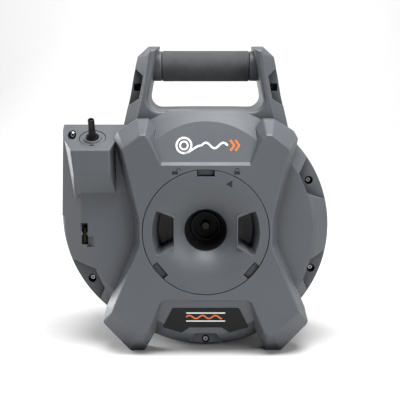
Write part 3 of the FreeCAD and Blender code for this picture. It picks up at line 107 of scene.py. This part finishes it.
class Shader:
    """A small helper that adds nodes to one material and joins them."""

    def __init__(self, name):
        self.material = bpy.data.materials.new(name)
        self.material.use_nodes = True
        self.nodes = self.material.node_tree.nodes
        self.links = self.material.node_tree.links
        self.surface = self.nodes["Principled BSDF"]
        self.coords = self.nodes.new("ShaderNodeTexCoord").outputs["Object"]

    def set(self, **values):
        """Sets constant values on the surface's sockets; an underscore stands for a space."""
        for name, value in values.items():
            self.surface.inputs[name.replace("_", " ")].default_value = value

    def noise(self, scale, detail=2.0, roughness=0.5, stretch=(1, 1, 1)):
        """Soft irregular patches, 0 to 1."""
        mapping = self.nodes.new("ShaderNodeMapping")
        mapping.inputs["Scale"].default_value = stretch
        self.links.new(self.coords, mapping.inputs["Vector"])
        node = self.nodes.new("ShaderNodeTexNoise")
        node.inputs["Scale"].default_value = scale
        node.inputs["Detail"].default_value = detail
        node.inputs["Roughness"].default_value = roughness
        self.links.new(mapping.outputs["Vector"], node.inputs["Vector"])
        return node.outputs["Fac"]

    def cells(self, scale):
        """Distance from the middle of each small cell."""
        node = self.nodes.new("ShaderNodeTexVoronoi")
        node.inputs["Scale"].default_value = scale
        self.links.new(self.coords, node.inputs["Vector"])
        return node.outputs["Distance"]

    def ramp(self, source, stops):
        """Colours along the source's value, given as (place, colour) pairs."""
        node = self.nodes.new("ShaderNodeValToRGB")
        band = node.color_ramp
        while len(band.elements) < len(stops):
            band.elements.new(0.5)
        for element, (place, colour) in zip(band.elements, stops):
            element.position = place
            element.color = (*colour, 1.0)
        self.links.new(source, node.inputs["Fac"])
        return node.outputs["Color"]

    def span(self, source, low, high, to_low, to_high):
        """The source's range from low to high, spread over another range."""
        node = self.nodes.new("ShaderNodeMapRange")
        node.inputs["From Min"].default_value = low
        node.inputs["From Max"].default_value = high
        node.inputs["To Min"].default_value = to_low
        node.inputs["To Max"].default_value = to_high
        self.links.new(source, node.inputs["Value"])
        return node.outputs["Result"]

    def mix(self, factor, first, second):
        """Two colours or outputs mixed by the factor."""
        node = self.nodes.new("ShaderNodeMix")
        node.data_type = "RGBA"
        self.links.new(factor, node.inputs[0])
        for socket, value in ((node.inputs[6], first), (node.inputs[7], second)):
            if isinstance(value, tuple):
                socket.default_value = (*value, 1.0)
            else:
                self.links.new(value, socket)
        return node.outputs[2]

    def open_air(self, reach):
        """How open the surroundings are within the reach: 1 on a plain face, less in a groove; used to paint
        shade into recesses.
        """
        node = self.nodes.new("ShaderNodeAmbientOcclusion")
        node.samples = AIR_SAMPLES
        node.inputs["Distance"].default_value = reach
        return node.outputs["AO"]

    def shade_by_depth(self, shallow, deep):
        """1 down to the first distance behind the front face, 0 from the second distance on: the mask for
        painted shade on deep floors.
        """
        parts = self.nodes.new("ShaderNodeSeparateXYZ")
        self.links.new(self.coords, parts.inputs["Vector"])
        return self.span(parts.outputs["Y"], FRONT_Y + shallow, FRONT_Y + deep, 1.0, 0.0)

    def edge(self, radius):
        """How much the surface turns within the radius: near 0 on a flat, more at an edge."""
        bevel = self.nodes.new("ShaderNodeBevel")
        bevel.samples = EDGE_SAMPLES
        bevel.inputs["Radius"].default_value = radius
        geometry = self.nodes.new("ShaderNodeNewGeometry")
        dot = self.nodes.new("ShaderNodeVectorMath")
        dot.operation = "DOT_PRODUCT"
        self.links.new(bevel.outputs["Normal"], dot.inputs[0])
        self.links.new(geometry.outputs["Normal"], dot.inputs[1])
        return self.span(dot.outputs["Value"], 1.0, 0.8, 0.0, 1.0)

    def bump(self, height, strength, distance, round_edges=0.0):
        """Fine relief, over edges that look rounded by the given radius."""
        node = self.nodes.new("ShaderNodeBump")
        node.inputs["Strength"].default_value = strength
        node.inputs["Distance"].default_value = distance
        self.links.new(height, node.inputs["Height"])
        if round_edges:
            bevel = self.nodes.new("ShaderNodeBevel")
            bevel.samples = ROUND_SAMPLES
            bevel.inputs["Radius"].default_value = round_edges
            self.links.new(bevel.outputs["Normal"], node.inputs["Normal"])
        self.links.new(node.outputs["Normal"], self.surface.inputs["Normal"])

    def join(self, output, socket):
        """Joins an output to one of the surface's sockets."""
        self.links.new(output, self.surface.inputs[socket])


def scaled(colour, factor):
    """The colour made lighter or darker."""
    return tuple(min(1.0, part * factor) for part in colour)


def moulded(name, colour, roughness=0.5, grain=2600.0, relief=0.35, round_edges=0.8 * MM, shift=0.03,
            reach=9.0 * MM, depth=0.28, gloss=0.42, deep=None):
    """Moulded plastic: a fine etched grain, faint patches of tone, edges painted paler as a painted
    highlight, and painted shade in recesses and, with deep, on far floors.
    """
    shader = Shader(name)
    patches = shader.ramp(shader.noise(16.0, 4.0, 0.6),
                          [(0.35, scaled(colour, 1 - shift)), (0.65, scaled(colour, 1 + shift))])
    # Painted highlight: edges are painted paler than the faces.
    tone_with_painted_light = shader.mix(shader.edge(EDGE_HIGHLIGHT_RADIUS), patches, scaled(colour, EDGE_HIGHLIGHT_PALER))
    # Painted shade on floors far behind the front face.
    if deep:
        tone_with_painted_light = shader.mix(shader.shade_by_depth(*deep), scaled(colour, DEEP_SHADE), tone_with_painted_light)
    # Painted shade in recesses and grooves, from ambient occlusion; depth sets how dark it is.
    sheltered = shader.span(shader.open_air(reach), 0.3, 0.9, 0.0, 1.0)
    shader.join(shader.mix(sheltered, scaled(colour, depth), tone_with_painted_light), "Base Color")
    shader.join(shader.span(shader.noise(45.0, 5.0, 0.6), 0.3, 0.7, roughness - 0.05, roughness + 0.05),
                "Roughness")
    shader.set(Specular_IOR_Level=gloss)
    shader.bump(shader.noise(grain, 2.0, 0.6), relief, MOULD_RELIEF, round_edges)
    return shader.material


def foam(name, colour):
    """Closed-cell foam: small pores under a dull skin, with slow soft dents."""
    shader = Shader(name)
    pores = shader.cells(750.0)
    dents = shader.noise(70.0, 3.0, 0.6)
    tone = shader.ramp(pores, [(0.08, scaled(colour, 0.45)), (0.45, colour)])
    rubbed = shader.ramp(dents, [(0.35, scaled(colour, 0.85)), (0.65, scaled(colour, 1.25))])
    shader.join(shader.mix(shader.span(pores, 0.1, 0.5, 0.0, 1.0), tone, rubbed), "Base Color")
    shader.join(shader.span(dents, 0.3, 0.7, 0.7, 0.9), "Roughness")
    shader.set(Specular_IOR_Level=0.3, Sheen_Weight=0.12, Sheen_Roughness=0.5)
    shader.bump(pores, 0.45, FOAM_RELIEF, 0.5 * MM)
    return shader.material


def steel(name, colour, roughness, scale=700.0, round_edges=0.25 * MM):
    """Plated or bare steel with faint rubbing marks, and painted shade in its sockets."""
    shader = Shader(name)
    marks = shader.noise(scale, 3.0, 0.7, (1.0, 6.0, 1.0))
    bright = shader.ramp(marks, [(0.3, scaled(colour, 0.75)), (0.7, colour)])
    # Painted shade in the sockets and hollows of the steel.
    sheltered = shader.span(shader.open_air(SOCKET_REACH), 0.45, 0.8, 0.0, 1.0)
    shader.join(shader.mix(sheltered, scaled(colour, SOCKET_SHADE), bright), "Base Color")
    shader.join(shader.span(marks, 0.3, 0.7, roughness - 0.05, roughness + 0.1), "Roughness")
    shader.set(Metallic=1.0)
    shader.bump(marks, 0.15, STEEL_RELIEF, round_edges)
    return shader.material


def paint(name, colour, roughness=0.45):
    """Printed ink, a little uneven; the dark one is painted shade laid in the sunk signs."""
    shader = Shader(name)
    grain = shader.noise(900.0, 3.0, 0.6)
    shader.join(shader.ramp(grain, [(0.35, scaled(colour, 0.93)), (0.65, colour)]), "Base Color")
    shader.join(shader.span(grain, 0.3, 0.7, roughness - 0.05, roughness + 0.1), "Roughness")
    shader.bump(grain, 0.1, INK_RELIEF)
    return shader.material


def strands(name, colour):
    """Wound wire."""
    shader = Shader(name)
    wave = shader.nodes.new("ShaderNodeTexWave")
    wave.bands_direction = "DIAGONAL"
    wave.inputs["Scale"].default_value = 260.0
    shader.links.new(shader.coords, wave.inputs["Vector"])
    shader.join(shader.ramp(wave.outputs["Fac"], [(0.0, scaled(colour, 0.3)), (0.6, colour)]), "Base Color")
    shader.set(Metallic=1.0, Roughness=0.35)
    shader.bump(wave.outputs["Fac"], 0.6, STRAND_RELIEF)
    return shader.material


GREY = (0.080, 0.086, 0.096)
COVER_GREY = (0.076, 0.082, 0.091)
BLACK = (0.014, 0.014, 0.015)
# Distances behind the front face over which the cover's recess floors fade into painted shade.
COVER_DEEP = (17.5 * MM, 26.0 * MM)


def node_materials():
    """One material for each of the record's slots, put on every CAD node of that slot."""
    made = {
        # reach and depth set the painted shade in recesses; deep sets the painted shade on the cover's far
        # floors.
        "housing": moulded("housing_plastic", GREY, reach=15.0 * MM),
        "cover": moulded("cover_plastic", COVER_GREY, 0.46, depth=0.4, deep=COVER_DEEP),
        "black_plastic": moulded("black_plastic", scaled(BLACK, 0.7), 0.5, round_edges=0.4 * MM, gloss=0.2),
        "black_rubber": moulded("black_rubber", scaled(BLACK, 0.35), 0.6, relief=0.5, round_edges=0.5 * MM,
                                gloss=0.1),
        "drum_plastic": moulded("drum_plastic", (0.012, 0.013, 0.016), 0.6, round_edges=0.5 * MM, gloss=0.15),
        "label_black": moulded("label_film", (0.012, 0.012, 0.013), 0.5, grain=1500.0, relief=0.1,
                               round_edges=0.3 * MM, gloss=0.15),
        "foam": foam("grip_foam", (0.046, 0.048, 0.052)),
        "sheath": moulded("sheath_plastic", (0.012, 0.012, 0.013), 0.4, relief=0.15, round_edges=0.3 * MM,
                          gloss=0.3),
        "aluminium_tube": steel("drawn_aluminium", (0.72, 0.72, 0.74), 0.35),
        "bright_steel": steel("plated_steel", (0.62, 0.62, 0.63), 0.28),
        "black_steel": steel("blackened_steel", (0.036, 0.034, 0.030), 0.42),
        "cable_steel": strands("wire_rope", (0.5, 0.5, 0.51)),
        "bearing_bronze": steel("sintered_bronze", (0.16, 0.11, 0.055), 0.5),
    }
    for entry in frame["record"]["subparts"]:
        node = NODES[entry["node"]]
        node.data.materials.clear()
        node.data.materials.append(made[entry["material_slot"]])
    made["print_white"] = paint("white_print", (0.80, 0.81, 0.82))
    made["print_orange"] = paint("orange_print", (0.72, 0.16, 0.02))
    # Dark ink film that stands for painted shade in the sunk signs.
    made["sign_shade_black"] = paint("sign_shade_black", (0.012, 0.012, 0.013), 0.6)
    return made


# ---- printed films and films of painted shade ----

FILM_PROUD = 0.12 * MM
FILM_SUNK = 0.30 * MM
RAY_START = 50.0 * MM


def tree_of(node):
    """The node's surface, for finding what lies behind a point."""
    piece = NODES[node]
    points = [piece.matrix_world @ v.co for v in piece.data.vertices]
    return BVHTree.FromPolygons(points, [list(p.vertices) for p in piece.data.polygons])


def stroke(points, width, closed=False):
    """A strip of even width along a route of (x, z) points, as two rails of as many points."""
    left, right = [], []
    count = len(points)
    for i, (x, z) in enumerate(points):
        before = points[i - 1] if (closed or i > 0) else points[i]
        after = points[(i + 1) % count] if (closed or i < count - 1) else points[i]
        along_x, along_z = after[0] - before[0], after[1] - before[1]
        length = math.hypot(along_x, along_z)
        side_x, side_z = -along_z / length * width / 2, along_x / length * width / 2
        left.append((x + side_x, z + side_z))
        right.append((x - side_x, z - side_z))
    if closed:
        left.append(left[0])
        right.append(right[0])
    return left, right


def arc(x, z, radius, start, end, steps=24):
    """Points along an arc about (x, z), from one angle to another in degrees."""
    turns = [math.radians(start + (end - start) * i / steps) for i in range(steps + 1)]
    return [(x + radius * math.cos(t), z + radius * math.sin(t)) for t in turns]


def film(name, rails, tree, body, material):
    """Thin film on a surface: each pair of rails is a strip, dropped straight back onto the surface."""
    points, faces = [], []
    for left, right in rails:
        start = len(points)
        for pair in zip(left, right):
            for x, z in pair:
                origin = Vector((HUB.x + x * MM, FRONT_Y - RAY_START, HUB.z + z * MM))
                place, normal, _, _ = tree.ray_cast(origin, Vector((0, 1, 0)))
                points.append(place + normal * FILM_PROUD)
                points.append(place - normal * FILM_SUNK)
        count = len(left)
        for i in range(count - 1):
            a = start + 4 * i
            b = a + 4
            faces += [(a, b, b + 2, a + 2), (a + 1, a + 3, b + 3, b + 1), (a, a + 1, b + 1, b),
                      (a + 2, b + 2, b + 3, a + 3)]
        last = start + 4 * (count - 1)
        faces += [(start, start + 2, start + 3, start + 1), (last, last + 1, last + 3, last + 2)]
    mesh = bpy.data.meshes.new(name)
    mesh.from_pydata(points, [], faces)
    mesh.materials.append(material)
    piece = bpy.data.objects.new(name, mesh)
    bpy.context.scene.collection.objects.link(piece)
    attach(piece, body)


# Places of the signs in millimetres from the hub's axis, across and up.
PANEL_MARK_Z = 96.0
COIL_X = -24.0
COIL_R = 8.2
COIL_STEP = 4.0
COIL_END = 345
COIL_POINTS = 40
CABLE_END_X = 24.0
CABLE_POINTS = 40
CABLE_RISE_END = 0.4
CABLE_WAVE = 3.0
CHEVRON_XS = (29.0, 34.5)
CHEVRON_HALF = 5.5
CHEVRON_BACK = 2.0
CHEVRON_FORTH = 2.2
LINE = 2.1
INNER_LINE = LINE - 0.2
CHEVRON_LINE = LINE + 0.3
PLATE_MARK_Z = -98.5
PIPE_HALF = 5.2
PIPE_LENGTH = 22.0
PIPE_LINE = 1.5
PIPE_POINTS = 48
PIPE_CABLE_END = 45
PIPE_WAVES = 3
PIPE_WAVE = 2.0
PIPE_CABLE_LINE = 1.8
ARROW_TIP = (21.9, 54.3)
ARROW_TIP_HALF = 0.2
ARROW_BACK_X = 28.6
ARROW_HALF = 3.9
LOCK_X = 34.0
LOCK_Z = 68.4
LOCK_HALF = 3.1
LOCK_HIGH = 3.6
LOCK_SWING = 4.0
BOW_R = 2.0
BOW_UP = 1.2
BOW_LINE = 0.8


def panel_mark(tree, made):
    """A plain sign on the upper panel: a coil, the cable that runs out of it, and its head."""
    rings = [stroke(arc(COIL_X, PANEL_MARK_Z, radius, 0, COIL_END, COIL_POINTS)[:COIL_POINTS], width, True)
             for radius, width in ((COIL_R, LINE), (COIL_R - COIL_STEP, INNER_LINE))]
    low = PANEL_MARK_Z - COIL_R
    length = CABLE_END_X - COIL_X
    cable = []
    for i in range(CABLE_POINTS + 1):
        share = i / CABLE_POINTS
        rise = COIL_R * (1 - math.cos(math.pi * min(1.0, share / CABLE_RISE_END))) / 2
        wave = CABLE_WAVE * math.sin(2 * math.pi * max(0.0, share - CABLE_RISE_END) / CABLE_RISE_END)
        cable.append((COIL_X + length * share, low + rise + wave))
    film("panel_sign", rings + [stroke(cable, LINE)], tree, "root", made["print_white"])
    heads = []
    for x in CHEVRON_XS:
        chevron = [(x - CHEVRON_BACK, PANEL_MARK_Z + CHEVRON_HALF), (x + CHEVRON_FORTH, PANEL_MARK_Z),
                   (x - CHEVRON_BACK, PANEL_MARK_Z - CHEVRON_HALF)]
        heads.append(stroke(chevron, CHEVRON_LINE))
    film("panel_sign_head", heads, tree, "root", made["print_orange"])


def plate_mark(tree, made):
    """A plain sign on the black plate: a pipe with the cable inside it."""
    walls = []
    for z in (PLATE_MARK_Z - PIPE_HALF, PLATE_MARK_Z + PIPE_HALF):
        walls.append(stroke([(-PIPE_LENGTH, z), (PIPE_LENGTH, z)], PIPE_LINE))
    film("plate_sign", walls, tree, "root", made["print_white"])
    wave = []
    for i in range(PIPE_CABLE_END):
        share = i / PIPE_POINTS
        wave.append((-PIPE_LENGTH + 2 * PIPE_LENGTH * share,
                     PLATE_MARK_Z + PIPE_WAVE * math.sin(2 * math.pi * PIPE_WAVES * share)))
    film("plate_sign_cable", [stroke(wave, PIPE_CABLE_LINE)], tree, "root",
         made["print_orange"])


def sunk_sign_shade(shell, cover, made):
    """Dark films of painted shade in the sunk padlock signs on the case and in the sunk arrow on the cover.
    """
    tip_x, tip_z = ARROW_TIP
    arrow_rails = [([(tip_x, tip_z + ARROW_TIP_HALF), (ARROW_BACK_X, tip_z + ARROW_HALF)],
                    [(tip_x, tip_z - ARROW_TIP_HALF), (ARROW_BACK_X, tip_z - ARROW_HALF)])]
    film("cover_arrow_shade", arrow_rails, cover, "cover", made["sign_shade_black"])
    for name, x, swing in (("lock_shut_shade", LOCK_X, 0.0), ("lock_open_shade", -LOCK_X, LOCK_SWING)):
        left, right = x - LOCK_HALF, x + LOCK_HALF
        low = LOCK_Z - LOCK_HIGH
        body = ([(left, LOCK_Z), (right, LOCK_Z)], [(left, low), (right, low)])
        bow = stroke(arc(x + swing, LOCK_Z + BOW_UP, BOW_R, 0, 180, 12), BOW_LINE)
        film(name, [body, bow], shell, "root", made["sign_shade_black"])


# ---- floor and light ----

PAPER_HALF = 4.0
PAPER_FRONT = 3.0
PAPER_BACK = 1.6
PAPER_BEND = 0.8
PAPER_HIGH = 3.0
PAPER_STEPS = 12


def studio():
    """Pale paper that lies under the object and curves up behind it."""
    shader = Shader("studio_paper")
    grain = shader.noise(300.0, 2.0, 0.5)
    shader.join(shader.ramp(grain, [(0.4, (0.60, 0.60, 0.60)), (0.6, (0.62, 0.62, 0.62))]), "Base Color")
    shader.set(Roughness=0.9, Specular_IOR_Level=0.1)
    profile = [(-PAPER_FRONT, 0.0)]
    for i in range(PAPER_STEPS + 1):
        turn = math.pi / 2 * i / PAPER_STEPS
        profile.append((PAPER_BACK + PAPER_BEND * math.sin(turn), PAPER_BEND - PAPER_BEND * math.cos(turn)))
    profile.append((PAPER_BACK + PAPER_BEND, PAPER_HIGH))
    mesh = bpy.data.meshes.new("studio_floor")
    points = [(side * PAPER_HALF, y, z) for y, z in profile for side in (-1, 1)]
    faces = [(2 * i, 2 * i + 1, 2 * i + 3, 2 * i + 2) for i in range(len(profile) - 1)]
    mesh.from_pydata(points, [], faces)
    mesh.materials.append(shader.material)
    for face in mesh.polygons:
        face.use_smooth = True
    floor = bpy.data.objects.new("studio_floor", mesh)
    bpy.context.scene.collection.objects.link(floor)


# name, place, width and height, watts, what it is aimed at
LAMPS = (
    ("left_side", (-1.4, 0.85, 0.5), (0.8, 1.0), 42.0, (0, 0, 0.16)),
    ("top", (0.1, -0.35, 1.6), (1.2, 0.7), 50.0, (0, 0, 0.16)),
    ("front_fill", (1.1, -1.15, 0.6), (0.8, 0.8), 12.5, (0, 0, 0.16)),
    ("right_side", (1.5, 0.9, 0.7), (0.6, 0.8), 5.0, (0, 0, 0.16)),
    ("back_glow", (0.0, 1.5, 1.5), (2.4, 1.2), 28.0, (0, 2.2, 0.4)),
)
SKY = 0.08


def lights():
    """Soft rectangular lamps and a faint even sky."""
    for name, place, size, power, target in LAMPS:
        data = bpy.data.lights.new(name, "AREA")
        data.shape = "RECTANGLE"
        data.size, data.size_y = size
        data.energy = power
        light = bpy.data.objects.new(name, data)
        light.location = place
        light.rotation_euler = (Vector(place) - Vector(target)).to_track_quat("Z", "Y").to_euler()
        bpy.context.scene.collection.objects.link(light)
    world = bpy.data.worlds.new("studio")
    world.use_nodes = True
    world.node_tree.nodes["Background"].inputs["Color"].default_value = (1, 1, 1, 1)
    world.node_tree.nodes["Background"].inputs["Strength"].default_value = SKY
    bpy.context.scene.world = world
    bpy.context.scene.view_settings.view_transform = "Standard"


camera()
materials = node_materials()
shell_tree = tree_of("front_shell")
panel_mark(shell_tree, materials)
plate_mark(tree_of("nameplate"), materials)
sunk_sign_shade(shell_tree, tree_of("hub_cover"), materials)
studio()
lights()
